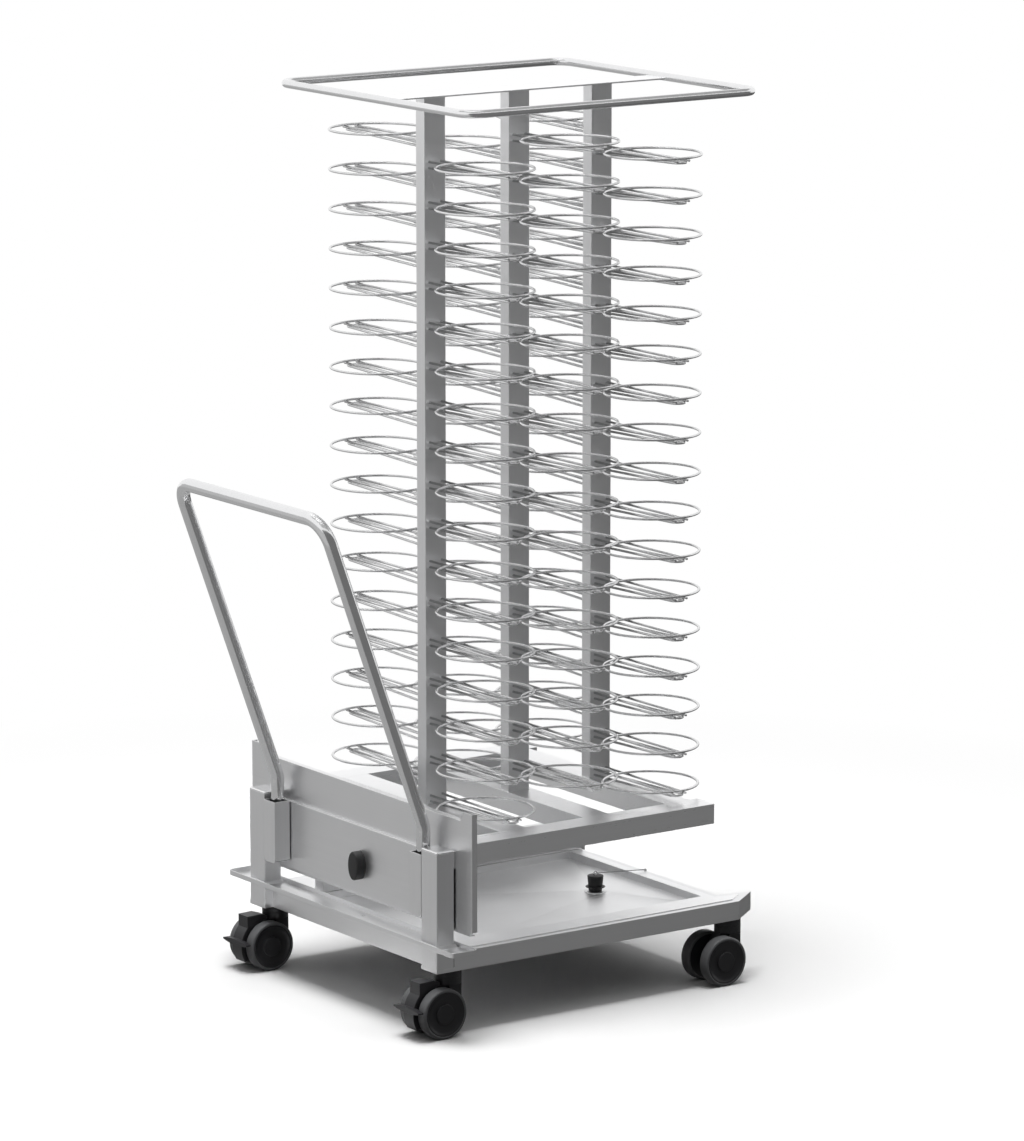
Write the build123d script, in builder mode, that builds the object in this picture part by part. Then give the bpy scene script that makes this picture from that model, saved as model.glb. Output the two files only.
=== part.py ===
"""Plate rack trolley, built as an assembly of separate pieces, in millimetres.

X runs along the trolley with the handle end at -X, Y runs across it and Z runs up from the floor.
The origin lies on the floor under the middle of the trolley's overall length and width.
"""

import os
from math import cos, radians, sin

from build123d import *

# Plate levels and uprights
level_count = 17
level_pitch = 79.0
first_level_height = 22.5
upright_pitch = 200.0
upright_length = 50.0
upright_width = 30.0
upright_wall = 2.0
upright_corner = 2.0

# Wire plate carriers
wire_diameter = 5.0
ring_outer_diameter = 196.0
ring_reach = 186.0
carrier_wire_spacing = 28.0
arm_overrun = 5.0
hairpin_drop = 12.0
hairpin_overrun = 3.0
weld_sink = 0.8

# Lower deck of the rack
deck_rise = 207.9
deck_height = 40.0
deck_side_inset = 2.2
deck_flange_width = 56.0
deck_rear_reach = 50.0
deck_sheet = 2.0
cross_member_width = 60.0

# End plate behind the posts
end_plate_pad_depth = 2.7
end_plate_sheet = 2.0
end_plate_side_reach = 56.3
end_plate_low_margin = 6.0
end_plate_deck_rise = 56.5
end_plate_tab_rise = 19.0
end_plate_tab_width = 30.0
end_plate_flange = 12.0
end_plate_corner = 8.0

# Top loop and top strip
loop_tube_diameter = 16.0
loop_tube_wall = 1.5
loop_rise = 1.5
loop_end_reach = 143.0
loop_side_inset = 1.5
loop_centre_x = 5.5
loop_corner_radius = 38.0
strip_width = 60.0
strip_thickness = 3.0
strip_rise = 85.5

# Trolley base frame
base_half_width = 335.7
base_height = 38.0
base_sheet = 2.5
base_rear_x = 305.0
base_front_inset = 20.0
mount_plate_thickness = 8.0
mount_plate_length = 88.0
mount_plate_width = 62.0
horn_reach = 74.0
horn_tip_inset = 49.7
horn_start_reach = 7.0
horn_root_inset = 64.7

# Drip pan and its drain
pan_sheet = 1.5
pan_flange_inset = 15.0
pan_post_gap = 37.0
pan_rear_inset = 35.0
pan_near_inset = 69.7
pan_far_inset = 146.7
pan_wall_height = 15.5
pan_slope_drop = 10.0
drain_rear_gap = 93.0
drain_y = -32.0
drain_bore = 24.0
drain_flange_diameter = 44.0
drain_land_margin = 4.0
drain_tail_length = 22.0
drain_wall = 2.0
running_gap = 0.2

# Drain plug and its lanyard
plug_bottom_diameter = 27.0
plug_top_diameter = 33.0
plug_height = 32.0
plug_lip_diameter = 40.0
plug_lip_height = 8.0
plug_lip_thickness = 1.2
plug_nose_length = 8.0
plug_nose_clearance = 0.6
plug_seat_gap = 0.3
plug_eye_wire = 2.4
plug_eye_radius = 4.0
lanyard_diameter = 1.6
lanyard_eye_gap = 0.3
lanyard_clip_inset = 7.0
lanyard_clip_y = -38.0
lanyard_clip_height = 5.5
clip_diameter = 5.0
ferrule_diameter = 3.2
ferrule_length = 8.0

# Posts, pockets and cross panel at the handle end
post_length = 41.0
post_width = 54.5
post_front_x = -418.0
post_deck_drop = 4.5
post_wall = 2.5
post_corner = 3.5
post_cap_thickness = 4.0
post_cap_bevel = 2.0
post_pad_height = 38.0
pocket_width = 40.0
pocket_length = 35.5
pocket_sheet = 2.0
pocket_post_drop = 15.0
pocket_height = 126.0
pocket_notch = 6.0
panel_inset = 37.5
panel_sheet = 2.0
panel_post_drop = 16.5
panel_height = 139.5
buffer_width = 35.0
buffer_height = 58.0
buffer_depth = 20.0
buffer_y = -14.0
buffer_rise = 61.0
buffer_edge = 3.0

# Gutter round the handle end
gutter_front_reach = 9.0
gutter_length = 59.0
gutter_side_reach = 68.3
gutter_rise = 9.4
gutter_lip = 10.0
gutter_sheet = 1.5
gutter_corner = 10.0
gutter_drain_diameter = 9.0
gutter_drain_inset = 37.0
gutter_drain_y = -38.0
gutter_collar_height = 6.0
gutter_collar_spread = 5.0

# Lift-out push handle
handle_diameter = 27.0
handle_wall = 2.0
handle_seat_gap = 0.3
handle_slack = 0.5
handle_bend_rise = 36.0
handle_reach = 206.0
handle_rise = 621.0
handle_bend_radius = 50.0

# Side rail along the far side of the drip pan
rail_front_gap = 4.0
rail_rear_gap = 35.0
rail_width = 30.0
rail_height = 62.0
rail_wall = 2.0
rail_corner = 3.0

# Twin wheel casters
stem_front_inset = 43.0
stem_rear_inset = 9.0
stem_side_inset = 26.2
wheel_diameter = 100.0
wheel_headroom = 27.6
tyre_thickness = 6.0
wheel_width = 25.0
wheel_spacing = 62.0
trail = 34.0
housing_diameter = 53.0
collar_thickness = 13.5
swivel_gap = 0.3
fork_plate_half_width = 12.0
fork_radius = 22.0
body_half_width = 17.0
body_axle_rise = 16.0
body_start_x = -8.0
axle_diameter = 10.0
axle_clearance = 0.05
axle_side_gap = 0.4
neck_lean = 0.8
neck_rise = 0.6
boss_diameter = 24.0
wheel_top_gap = 0.5
hub_cap_diameter = 40.0
hub_cap_thickness = 4.0
hub_rim_width = 4.0
hub_dish = 5.0
shoulder_radius = 4.0
stem_diameter = 12.0
pin_depth = 24.0

# Brake pedals on the front casters
brake_wheel_gap = 2.0
brake_shield_thickness = 6.0
brake_half_width = 17.0
brake_cheek_thickness = 4.0
brake_gap = 0.4
brake_eye_width = 8.0
brake_upper_angle = 84.0
brake_lower_angle = -32.0
pedal_width = 86.0
pedal_thickness = 12.0
pedal_tip_thickness = 3.0
pedal_front = 64.0
pedal_back = 52.5
pedal_axle_rise = 10.0
lug_front = 43.0
lug_back = 4.0
lug_low = 38.0
lug_high = 62.5
lug_crown = 63.5
lug_crown_front = 12.0
lug_crown_fall = 5.0

# Heights, from the wheels up
wheel_radius = wheel_diameter / 2
axle_z = wheel_radius
base_bottom = wheel_diameter + wheel_headroom
base_top = base_bottom + base_height
pan_top = base_top + pan_sheet
deck_top = base_top + deck_rise
deck_bottom = deck_top - deck_height
first_level_z = deck_top + first_level_height
highest_level_z = first_level_z + (level_count - 0.5) * level_pitch
strip_top = highest_level_z + strip_rise
strip_bottom = strip_top - strip_thickness
loop_centre_z = strip_top + loop_rise
post_bottom = base_bottom + mount_plate_thickness
post_top = deck_top - post_deck_drop
pocket_top = post_top - pocket_post_drop
pocket_bottom = pocket_top - pocket_height
panel_top = post_top - panel_post_drop
panel_bottom = panel_top - panel_height
buffer_z = panel_bottom + buffer_rise
end_plate_bottom = panel_bottom - end_plate_low_margin
end_plate_top = deck_top + end_plate_deck_rise
end_plate_tab_top = end_plate_top + end_plate_tab_rise
gutter_floor = base_top + gutter_rise
handle_bend_z = post_top + handle_bend_rise
handle_top_z = handle_bend_z + handle_rise
handle_foot_z = pocket_bottom + pocket_sheet + handle_seat_gap
pan_floor_edge = pan_top - pan_wall_height
pan_floor_drain = pan_floor_edge - pan_slope_drop
collar_bottom = base_bottom - collar_thickness
housing_top = collar_bottom - swivel_gap

# Places along the trolley, measured from the middle upright
post_rear_x = post_front_x + post_length
end_plate_front_x = post_rear_x + end_plate_pad_depth
end_plate_rear_x = end_plate_front_x + end_plate_sheet
base_front_x = post_front_x + base_front_inset
gutter_front_x = post_front_x - gutter_front_reach
gutter_drain_x = gutter_front_x + gutter_drain_inset
panel_front_x = post_front_x + panel_inset
pocket_rear_x = post_front_x + pocket_length
handle_leg_x = pocket_rear_x - pocket_sheet - handle_slack - handle_diameter / 2
handle_top_x = post_front_x - handle_reach
stem_front_x = post_front_x + stem_front_inset
horn_start_x = base_rear_x + horn_start_reach
horn_tip_x = base_rear_x + horn_reach
stem_rear_x = horn_start_x - stem_rear_inset
pan_front_x = post_rear_x + pan_post_gap
pan_rear_x = base_rear_x - pan_rear_inset
drain_x = pan_rear_x - drain_rear_gap
rail_front_x = pan_front_x + rail_front_gap
rail_rear_x = pan_rear_x + rail_rear_gap
lanyard_clip_x = base_rear_x - lanyard_clip_inset
deck_rear_x = upright_pitch + deck_rear_reach
loop_half_length = upright_pitch + loop_end_reach
upright_places = [-upright_pitch, 0.0, upright_pitch]
handle_outer_x = handle_top_x - handle_diameter / 2
middle_x = -(handle_outer_x + horn_tip_x) / 2

# Places across the trolley
stem_y = base_half_width - stem_side_inset
horn_tip_y = base_half_width - horn_tip_inset
horn_root_y = base_half_width - horn_root_inset
pan_near_y = -(base_half_width - pan_near_inset)
pan_far_y = base_half_width - pan_far_inset
deck_half_width = base_half_width - deck_side_inset
deck_inner_y = deck_half_width - deck_flange_width
end_plate_half_width = base_half_width + end_plate_side_reach
gutter_half_width = base_half_width + gutter_side_reach
loop_half_width = deck_half_width - loop_side_inset
post_inner_y = base_half_width - post_width
pocket_inner_y = post_inner_y - pocket_width
handle_leg_y = post_inner_y - pocket_width / 2
upright_face_y = upright_width / 2
wire_radius = wire_diameter / 2
ring_radius = ring_outer_diameter / 2 - wire_radius
brake_inner_radius = wheel_radius + brake_wheel_gap
brake_outer_radius = brake_inner_radius + brake_shield_thickness
body_bottom_z = axle_z + body_axle_rise

os.makedirs("parts", exist_ok=True)


def level(height):
    """Plane at a height above the floor, with its X measured from the middle upright."""
    return Plane(origin=(middle_x, 0, height), x_dir=(1, 0, 0), z_dir=(0, 0, 1))


def across(x):
    """Upright plane across the trolley: its x runs along Y, its y runs up, extrusion goes to +X."""
    return Plane(origin=(middle_x + x, 0, 0), x_dir=(0, 1, 0), z_dir=(1, 0, 0))


def along(y):
    """Upright plane along the trolley: its x runs along X, its y runs up, extrusion goes to -Y."""
    return Plane(origin=(middle_x, y, 0), x_dir=(1, 0, 0), z_dir=(0, -1, 0))


def span(low, high):
    """Centre and length of a stretch."""
    return (low + high) / 2, high - low


def add_block(x_range, y_range, z_range, mode=Mode.ADD):
    """Add or cut a plain block in the part being built, its X measured from the middle upright."""
    centre_x, size_x = span(*x_range)
    centre_y, size_y = span(*y_range)
    with BuildSketch(level(z_range[0])) as plan:
        with Locations((centre_x, centre_y)):
            Rectangle(size_x, size_y)
    extrude(plan.sketch, amount=z_range[1] - z_range[0], mode=mode)


def mirrored(points):
    """Carry a list of plan points on round the far side, in the order that closes the outline."""
    return points + [(x, -y) for x, y in reversed(points)]


# Base frame: skirt, top sheet with an opening for the drip pan, and four caster mounting plates
base_outline = mirrored(
    [
        (base_front_x, -post_inner_y),
        (post_rear_x, -post_inner_y),
        (post_rear_x, -base_half_width),
        (horn_start_x, -base_half_width),
        (horn_tip_x, -horn_tip_y),
        (base_rear_x, -horn_root_y),
    ]
)


def base_plan(height, inset=0.0):
    """Sketch the base outline on a level, drawn in by an inset."""
    with BuildSketch(level(height)) as plan:
        with BuildLine():
            Polyline(*base_outline, close=True)
        make_face()
        if inset:
            offset(amount=-inset, kind=Kind.INTERSECTION)
    return plan.sketch


front_mount = (post_front_x, post_front_x + mount_plate_length)
rear_mount = (horn_start_x - mount_plate_length / 2, horn_start_x)

with BuildPart() as base_frame:
    extrude(base_plan(base_bottom), amount=base_height)
    extrude(base_plan(base_bottom, base_sheet), amount=base_height - base_sheet, mode=Mode.SUBTRACT)
    add_block(
        (pan_front_x - 2 * pan_sheet, pan_rear_x + 2 * pan_sheet),
        (pan_near_y - 2 * pan_sheet, pan_far_y + 2 * pan_sheet),
        (base_bottom, base_top),
        Mode.SUBTRACT,
    )
    for side in (-1, 1):
        edge = sorted((side * base_half_width, side * (base_half_width - mount_plate_width)))
        corner = sorted((side * base_half_width, side * post_inner_y))
        add_block(front_mount, corner, (base_bottom, post_bottom))
        add_block(rear_mount, edge, (base_bottom, post_bottom))
        with BuildSketch(level(base_bottom)):
            with BuildLine():
                Polyline(
                    (horn_start_x, side * base_half_width),
                    (horn_tip_x, side * horn_tip_y),
                    (horn_start_x, side * (base_half_width - mount_plate_width)),
                    close=True,
                )
            make_face()
        extrude(amount=mount_plate_thickness)
    for stem_x in (stem_front_x, stem_rear_x):
        for side in (-1, 1):
            with BuildSketch(level(base_bottom)):
                with Locations((stem_x, side * stem_y)):
                    Circle(stem_diameter / 2)
            extrude(amount=mount_plate_thickness, mode=Mode.SUBTRACT)
base_frame.part.label = "base_frame"
export_step(base_frame.part, "parts/base_frame.step")


# Drip pan: flange laid on the base's top sheet, short walls and a floor that falls to the drain
pan_centre = ((pan_front_x + pan_rear_x) / 2, (pan_near_y + pan_far_y) / 2)
pan_size = (pan_rear_x - pan_front_x, pan_far_y - pan_near_y)
drain_land = drain_flange_diameter + 2 * drain_land_margin


def pan_hollow(margin, drop):
    """Add the basin's outer form, or with no margin cut its inside, down to the drain's land."""
    mode = Mode.ADD if margin else Mode.SUBTRACT
    with BuildSketch(level(pan_floor_edge - drop)) as rim:
        with Locations(pan_centre):
            Rectangle(pan_size[0] + 2 * margin, pan_size[1] + 2 * margin)
    with BuildSketch(level(pan_floor_drain - drop)) as land:
        with Locations((drain_x, drain_y)):
            Rectangle(drain_land, drain_land)
    extrude(rim.sketch, amount=pan_wall_height + drop, mode=mode)
    loft([rim.sketch, land.sketch], ruled=True, mode=mode)


with BuildPart() as drip_pan:
    extrude(base_plan(base_top, pan_flange_inset), amount=pan_sheet)
    pan_hollow(pan_sheet, pan_sheet)
    pan_hollow(0.0, 0.0)
    with BuildSketch(level(pan_floor_drain - 2 * pan_sheet)):
        with Locations((drain_x, drain_y)):
            Circle(drain_bore / 2 + drain_wall + running_gap)
    extrude(amount=3 * pan_sheet, mode=Mode.SUBTRACT)
drip_pan.part.label = "drip_pan"
export_step(drip_pan.part, "parts/drip_pan.step")

with BuildPart() as drain_fitting:
    with BuildSketch(level(pan_floor_drain)):
        with Locations((drain_x, drain_y)):
            Circle(drain_flange_diameter / 2)
    extrude(amount=pan_sheet)
    with BuildSketch(level(pan_floor_drain - drain_tail_length)):
        with Locations((drain_x, drain_y)):
            Circle(drain_bore / 2 + drain_wall)
    extrude(amount=drain_tail_length)
    with BuildSketch(level(pan_floor_drain - drain_tail_length)):
        with Locations((drain_x, drain_y)):
            Circle(drain_bore / 2)
    extrude(amount=drain_tail_length + pan_sheet, mode=Mode.SUBTRACT)
drain_fitting.part.label = "drain_fitting"
export_step(drain_fitting.part, "parts/drain_fitting.step")


# Drain plug: tapered rubber body with a sealing lip, a nose in the drain and a wire eye on top
plug_seat = pan_floor_drain + pan_sheet + plug_seat_gap
plug_top = plug_seat + plug_height
eye_centre_z = plug_top + plug_eye_radius

with BuildPart() as drain_plug:
    with BuildSketch(level(plug_seat)):
        with Locations((drain_x, drain_y)):
            Circle(plug_bottom_diameter / 2)
    with BuildSketch(level(plug_top)):
        with Locations((drain_x, drain_y)):
            Circle(plug_top_diameter / 2)
    loft()
    with BuildSketch(level(plug_seat + plug_lip_height)):
        with Locations((drain_x, drain_y)):
            Circle(plug_lip_diameter / 2)
    extrude(amount=plug_lip_thickness)
    with BuildSketch(level(plug_seat - plug_nose_length)):
        with Locations((drain_x, drain_y)):
            Circle(drain_bore / 2 - plug_nose_clearance)
    extrude(amount=plug_nose_length)
    with Locations(Location((middle_x + drain_x, drain_y, eye_centre_z), (90, 0, 0))):
        Torus(plug_eye_radius, plug_eye_wire / 2)
drain_plug.part.label = "drain_plug"
export_step(drain_plug.part, "parts/drain_plug.step")


# Lanyard: a tight thin cable from the plug's eye to a ferrule beside the clip on the rim
clip_top = pan_top + lanyard_clip_height
eye_side_x = drain_x + plug_eye_radius + plug_eye_wire / 2
lanyard_start = Vector(middle_x + eye_side_x + lanyard_eye_gap, drain_y, eye_centre_z)
clip_point = Vector(middle_x + lanyard_clip_x, lanyard_clip_y, clip_top - ferrule_diameter / 2)
lanyard_way = (clip_point - lanyard_start).normalized()
ferrule_end = clip_point - lanyard_way * (clip_diameter / 2)
lanyard_end = ferrule_end - lanyard_way * ferrule_length
lanyard_length = (lanyard_end - lanyard_start).length

with BuildPart() as lanyard:
    with BuildSketch(Plane(origin=lanyard_start, z_dir=lanyard_way)):
        Circle(lanyard_diameter / 2)
    extrude(amount=lanyard_length)
lanyard.part.label = "lanyard"
export_step(lanyard.part, "parts/lanyard.step")

with BuildPart() as lanyard_clip:
    with BuildSketch(Plane(origin=lanyard_end, z_dir=lanyard_way)):
        Circle(ferrule_diameter / 2)
    extrude(amount=ferrule_length + clip_diameter / 4)
    with BuildSketch(level(pan_top)):
        with Locations((lanyard_clip_x, lanyard_clip_y)):
            Circle(clip_diameter / 2)
    extrude(amount=lanyard_clip_height)
lanyard_clip.part.label = "lanyard_clip"
export_step(lanyard_clip.part, "parts/lanyard_clip.step")


# Side rail: the box section that runs along the far side of the drip pan on its flange
rail_y = pan_far_y + pan_sheet + rail_width / 2

with BuildPart() as side_rail:
    with BuildSketch(across(rail_front_x)):
        with Locations((rail_y, pan_top + rail_height / 2)):
            RectangleRounded(rail_width, rail_height, rail_corner)
            Rectangle(rail_width - 2 * rail_wall, rail_height - 2 * rail_wall, mode=Mode.SUBTRACT)
    extrude(amount=rail_rear_x - rail_front_x)
side_rail.part.label = "side_rail"
export_step(side_rail.part, "parts/side_rail.step")


# Gutter: shallow tray round the handle end, with a flared collar at each post and a drain hole
gutter_rear_x = gutter_front_x + gutter_length
gutter_top = gutter_floor + gutter_lip
collar_top = gutter_floor + gutter_sheet + gutter_collar_height
gutter_middle_x = gutter_front_x + gutter_length / 2
post_middle = (post_front_x + post_length / 2, base_half_width - post_width / 2)

with BuildPart() as gutter:
    add_block(
        (gutter_front_x, gutter_rear_x),
        (-gutter_half_width, gutter_half_width),
        (gutter_floor, gutter_top),
    )
    fillet(gutter.edges().filter_by(Axis.Z), gutter_corner)
    with BuildSketch(level(gutter_floor + gutter_sheet)):
        with Locations((gutter_middle_x, 0)):
            RectangleRounded(
                gutter_length - 2 * gutter_sheet,
                2 * (gutter_half_width - gutter_sheet),
                gutter_corner - gutter_sheet,
            )
    extrude(amount=gutter_lip, mode=Mode.SUBTRACT)
    for side in (-1, 1):
        with BuildSketch(level(gutter_floor)):
            with Locations((post_middle[0], side * post_middle[1])):
                Rectangle(post_length + 2 * gutter_collar_spread, post_width + 2 * gutter_collar_spread)
        with BuildSketch(level(collar_top)):
            with Locations((post_middle[0], side * post_middle[1])):
                Rectangle(post_length + gutter_sheet, post_width + gutter_sheet)
        loft(ruled=True)
        corner = sorted((side * base_half_width, side * post_inner_y))
        add_block((post_front_x, post_rear_x), corner, (gutter_floor, collar_top), Mode.SUBTRACT)
    with BuildSketch(level(gutter_floor)):
        with Locations((gutter_drain_x, gutter_drain_y)):
            Circle(gutter_drain_diameter / 2)
    extrude(amount=gutter_sheet, mode=Mode.SUBTRACT)
gutter.part.label = "gutter"
export_step(gutter.part, "parts/gutter.step")


# Posts: upright tubes at the handle end, each with a pad at its top against the end plate
post_tube_top = post_top - post_cap_thickness


def add_post(side):
    """Add one post to the part being built: side -1 is the near one, side 1 the far one."""
    with BuildSketch(level(post_bottom)) as plan:
        with Locations((post_middle[0], side * post_middle[1])):
            RectangleRounded(post_length, post_width, post_corner)
            Rectangle(post_length - 2 * post_wall, post_width - 2 * post_wall, mode=Mode.SUBTRACT)
    extrude(plan.sketch, amount=post_tube_top - post_bottom)
    pad = sorted((side * (base_half_width - post_corner), side * (post_inner_y + post_corner)))
    add_block((post_rear_x, end_plate_front_x), pad, (post_top - post_pad_height, post_tube_top))


with BuildPart() as post_near:
    add_post(-1)
post_near.part.label = "post_near"
export_step(post_near.part, "parts/post_near.step")

with BuildPart() as post_far:
    add_post(1)
post_far.part.label = "post_far"
export_step(post_far.part, "parts/post_far.step")

with BuildPart() as post_caps:
    with BuildSketch(level(post_tube_top)):
        with Locations((post_middle[0], -post_middle[1]), (post_middle[0], post_middle[1])):
            RectangleRounded(post_length, post_width, post_corner)
    extrude(amount=post_cap_thickness)
    chamfer(post_caps.faces().filter_by(Axis.Z).group_by(Axis.Z)[-1].edges(), post_cap_bevel)
post_caps.part.label = "post_caps"
export_step(post_caps.part, "parts/post_caps.step")


# Cross panel between the posts, folded back to the end plate, with an oval rubber buffer
with BuildPart() as cross_panel:
    add_block(
        (panel_front_x, end_plate_front_x),
        (-post_inner_y, post_inner_y),
        (panel_bottom, panel_top),
    )
    add_block(
        (panel_front_x + panel_sheet, end_plate_front_x),
        (-post_inner_y, post_inner_y),
        (panel_bottom + panel_sheet, panel_top - panel_sheet),
        Mode.SUBTRACT,
    )
cross_panel.part.label = "cross_panel"
export_step(cross_panel.part, "parts/cross_panel.step")

with BuildPart() as buffer:
    with BuildSketch(across(panel_front_x)):
        with Locations((buffer_y, buffer_z)):
            SlotOverall(buffer_height, buffer_width, rotation=90)
    extrude(amount=-buffer_depth)
    fillet(buffer.faces().sort_by(Axis.X)[0].edges(), buffer_edge)
buffer.part.label = "buffer"
export_step(buffer.part, "parts/buffer.step")


# Handle pockets: square tubes welded to the posts' inner faces, floored, with notched lower corners
with BuildPart() as handle_pockets:
    for side in (-1, 1):
        outer = sorted((side * pocket_inner_y, side * post_inner_y))
        inner = (outer[0] + pocket_sheet, outer[1] - pocket_sheet)
        add_block((post_front_x, pocket_rear_x), outer, (pocket_bottom, pocket_top))
        chamfer(
            handle_pockets.edges().filter_by(Axis.X).group_by(Axis.Z)[0].filter_by_position(
                Axis.Y, outer[0], outer[1]
            ),
            pocket_notch,
        )
        add_block(
            (post_front_x + pocket_sheet, pocket_rear_x - pocket_sheet),
            inner,
            (pocket_bottom + pocket_sheet, pocket_top),
            Mode.SUBTRACT,
        )
handle_pockets.part.label = "handle_pockets"
export_step(handle_pockets.part, "parts/handle_pockets.step")


# Push handle: one bent tube whose two legs stand in the pockets
handle_turns = [
    (middle_x + handle_leg_x, -handle_leg_y, handle_foot_z),
    (middle_x + handle_leg_x, -handle_leg_y, handle_bend_z),
    (middle_x + handle_top_x, -handle_leg_y, handle_top_z),
    (middle_x + handle_top_x, handle_leg_y, handle_top_z),
    (middle_x + handle_leg_x, handle_leg_y, handle_bend_z),
    (middle_x + handle_leg_x, handle_leg_y, handle_foot_z),
]

with BuildPart() as handle:
    with BuildLine() as handle_way:
        FilletPolyline(*handle_turns, radius=handle_bend_radius)
    with BuildSketch(level(handle_foot_z)):
        with Locations((handle_leg_x, -handle_leg_y)):
            Circle(handle_diameter / 2)
            Circle(handle_diameter / 2 - handle_wall, mode=Mode.SUBTRACT)
    sweep(path=handle_way.wire())
handle.part.label = "handle"
export_step(handle.part, "parts/handle.step")


# End plate: wide upright sheet behind the posts with folded edges and raised tabs at its ends
tab_inner_y = end_plate_half_width - end_plate_tab_width
tab_foot_y = tab_inner_y - (end_plate_tab_top - end_plate_top) / 2
end_plate_outline = [
    (-end_plate_half_width + end_plate_corner, end_plate_bottom),
    (end_plate_half_width - end_plate_corner, end_plate_bottom),
    (end_plate_half_width, end_plate_bottom + end_plate_corner),
    (end_plate_half_width, end_plate_tab_top),
    (tab_inner_y, end_plate_tab_top),
    (tab_foot_y, end_plate_top),
    (-tab_foot_y, end_plate_top),
    (-tab_inner_y, end_plate_tab_top),
    (-end_plate_half_width, end_plate_tab_top),
    (-end_plate_half_width, end_plate_bottom + end_plate_corner),
]
flange_x = (end_plate_front_x, end_plate_front_x + end_plate_flange)

with BuildPart() as end_plate:
    with BuildSketch(across(end_plate_front_x)):
        with BuildLine():
            Polyline(*end_plate_outline, close=True)
        make_face()
    extrude(amount=end_plate_sheet)
    add_block(flange_x, (-tab_foot_y, tab_foot_y), (end_plate_top - end_plate_sheet, end_plate_top))
    bottom_y = end_plate_half_width - end_plate_corner
    add_block(flange_x, (-bottom_y, bottom_y), (end_plate_bottom, end_plate_bottom + end_plate_sheet))
    for side in (-1, 1):
        edge = sorted((side * end_plate_half_width, side * (end_plate_half_width - end_plate_sheet)))
        add_block(flange_x, edge, (end_plate_bottom + end_plate_corner, end_plate_tab_top))
end_plate.part.label = "end_plate"
export_step(end_plate.part, "parts/end_plate.step")


# Deck beams: folded side channels, open below, closed at the rear end
def add_deck_beam(side):
    """Add one side beam of the deck: side -1 is the near one, side 1 the far one."""
    outer = sorted((side * deck_half_width, side * deck_inner_y))
    add_block((end_plate_rear_x, deck_rear_x), outer, (deck_bottom, deck_top))
    add_block(
        (end_plate_rear_x, deck_rear_x - deck_sheet),
        (outer[0] + deck_sheet, outer[1] - deck_sheet),
        (deck_bottom, deck_top - deck_sheet),
        Mode.SUBTRACT,
    )


with BuildPart() as deck_beam_near:
    add_deck_beam(-1)
deck_beam_near.part.label = "deck_beam_near"
export_step(deck_beam_near.part, "parts/deck_beam_near.step")

with BuildPart() as deck_beam_far:
    add_deck_beam(1)
deck_beam_far.part.label = "deck_beam_far"
export_step(deck_beam_far.part, "parts/deck_beam_far.step")


# Cross members with an upright on each: the same channel and the same tube three times
with BuildPart() as cross_member:
    half = cross_member_width / 2
    add_block((-half, half), (-deck_inner_y, deck_inner_y), (deck_bottom, deck_top))
    add_block(
        (deck_sheet - half, half - deck_sheet),
        (-deck_inner_y, deck_inner_y),
        (deck_bottom, deck_top - deck_sheet),
        Mode.SUBTRACT,
    )

with BuildPart() as upright:
    with BuildSketch(level(deck_top)):
        RectangleRounded(upright_length, upright_width, upright_corner)
        Rectangle(upright_length - 2 * upright_wall, upright_width - 2 * upright_wall, mode=Mode.SUBTRACT)
    extrude(amount=strip_bottom - deck_top)

for name, x in zip(("front", "middle", "rear"), upright_places):
    place = Location((x, 0, 0))
    member = cross_member.part.moved(place)
    member.label = f"cross_member_{name}"
    export_step(member, f"parts/{member.label}.step")
    tube = upright.part.moved(place)
    tube.label = f"upright_{name}"
    export_step(tube, f"parts/{tube.label}.step")


# Wire plate carrier: a ring on two straight arms with a hairpin brace beneath, on the near side
arm_drop = wire_diameter - weld_sink
arm_end = ring_reach + ring_radius + arm_overrun
arm_x = carrier_wire_spacing / 2
brace_end = ring_reach + ring_radius + hairpin_overrun
brace_fall = hairpin_drop - arm_drop
brace_way = Vector(0, -(brace_end - upright_face_y), brace_fall)
brace_plane = Plane(
    origin=(middle_x, -upright_face_y, -arm_drop - hairpin_drop),
    x_dir=(1, 0, 0),
    z_dir=Vector(1, 0, 0).cross(brace_way),
)
brace_run = brace_way.length - arm_x

with BuildPart() as carrier:
    with Locations((middle_x, -ring_reach, 0)):
        Torus(ring_radius, wire_radius)
    with BuildSketch(Plane(origin=(middle_x, 0, -arm_drop), x_dir=(1, 0, 0), z_dir=(0, -1, 0))):
        with Locations((-arm_x, 0), (arm_x, 0)):
            Circle(wire_radius)
    extrude(amount=arm_end)
    with BuildLine(brace_plane) as brace_line:
        Line((arm_x, 0), (arm_x, brace_run))
        ThreePointArc((arm_x, brace_run), (0, brace_run + arm_x), (-arm_x, brace_run))
        Line((-arm_x, brace_run), (-arm_x, 0))
    with BuildSketch(Plane(origin=brace_line.wire() @ 0, z_dir=brace_line.wire() % 0)):
        Circle(wire_radius)
    sweep(path=brace_line.wire())
    add_block(
        (-upright_length, upright_length),
        (-upright_face_y, wire_diameter),
        (-upright_length, upright_length),
        Mode.SUBTRACT,
    )

carrier_columns = [
    ("near_front", -upright_pitch, -1, 0.0),
    ("near_middle", 0.0, -1, 0.5),
    ("near_rear", upright_pitch, -1, 0.0),
    ("far_front", -upright_pitch, 1, 0.5),
    ("far_middle", 0.0, 1, 0.0),
    ("far_rear", upright_pitch, 1, 0.5),
]

for name, x, side, stagger in carrier_columns:
    turned = carrier.part if side < 0 else carrier.part.rotate(Axis((middle_x, 0, 0), (0, 0, 1)), 180)
    lowest = first_level_z + stagger * level_pitch
    rows = [turned.moved(Location((x, 0, lowest + row * level_pitch))) for row in range(level_count)]
    column = Compound(children=rows)
    column.label = f"carriers_{name}"
    export_step(column, f"parts/{column.label}.step")


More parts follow.
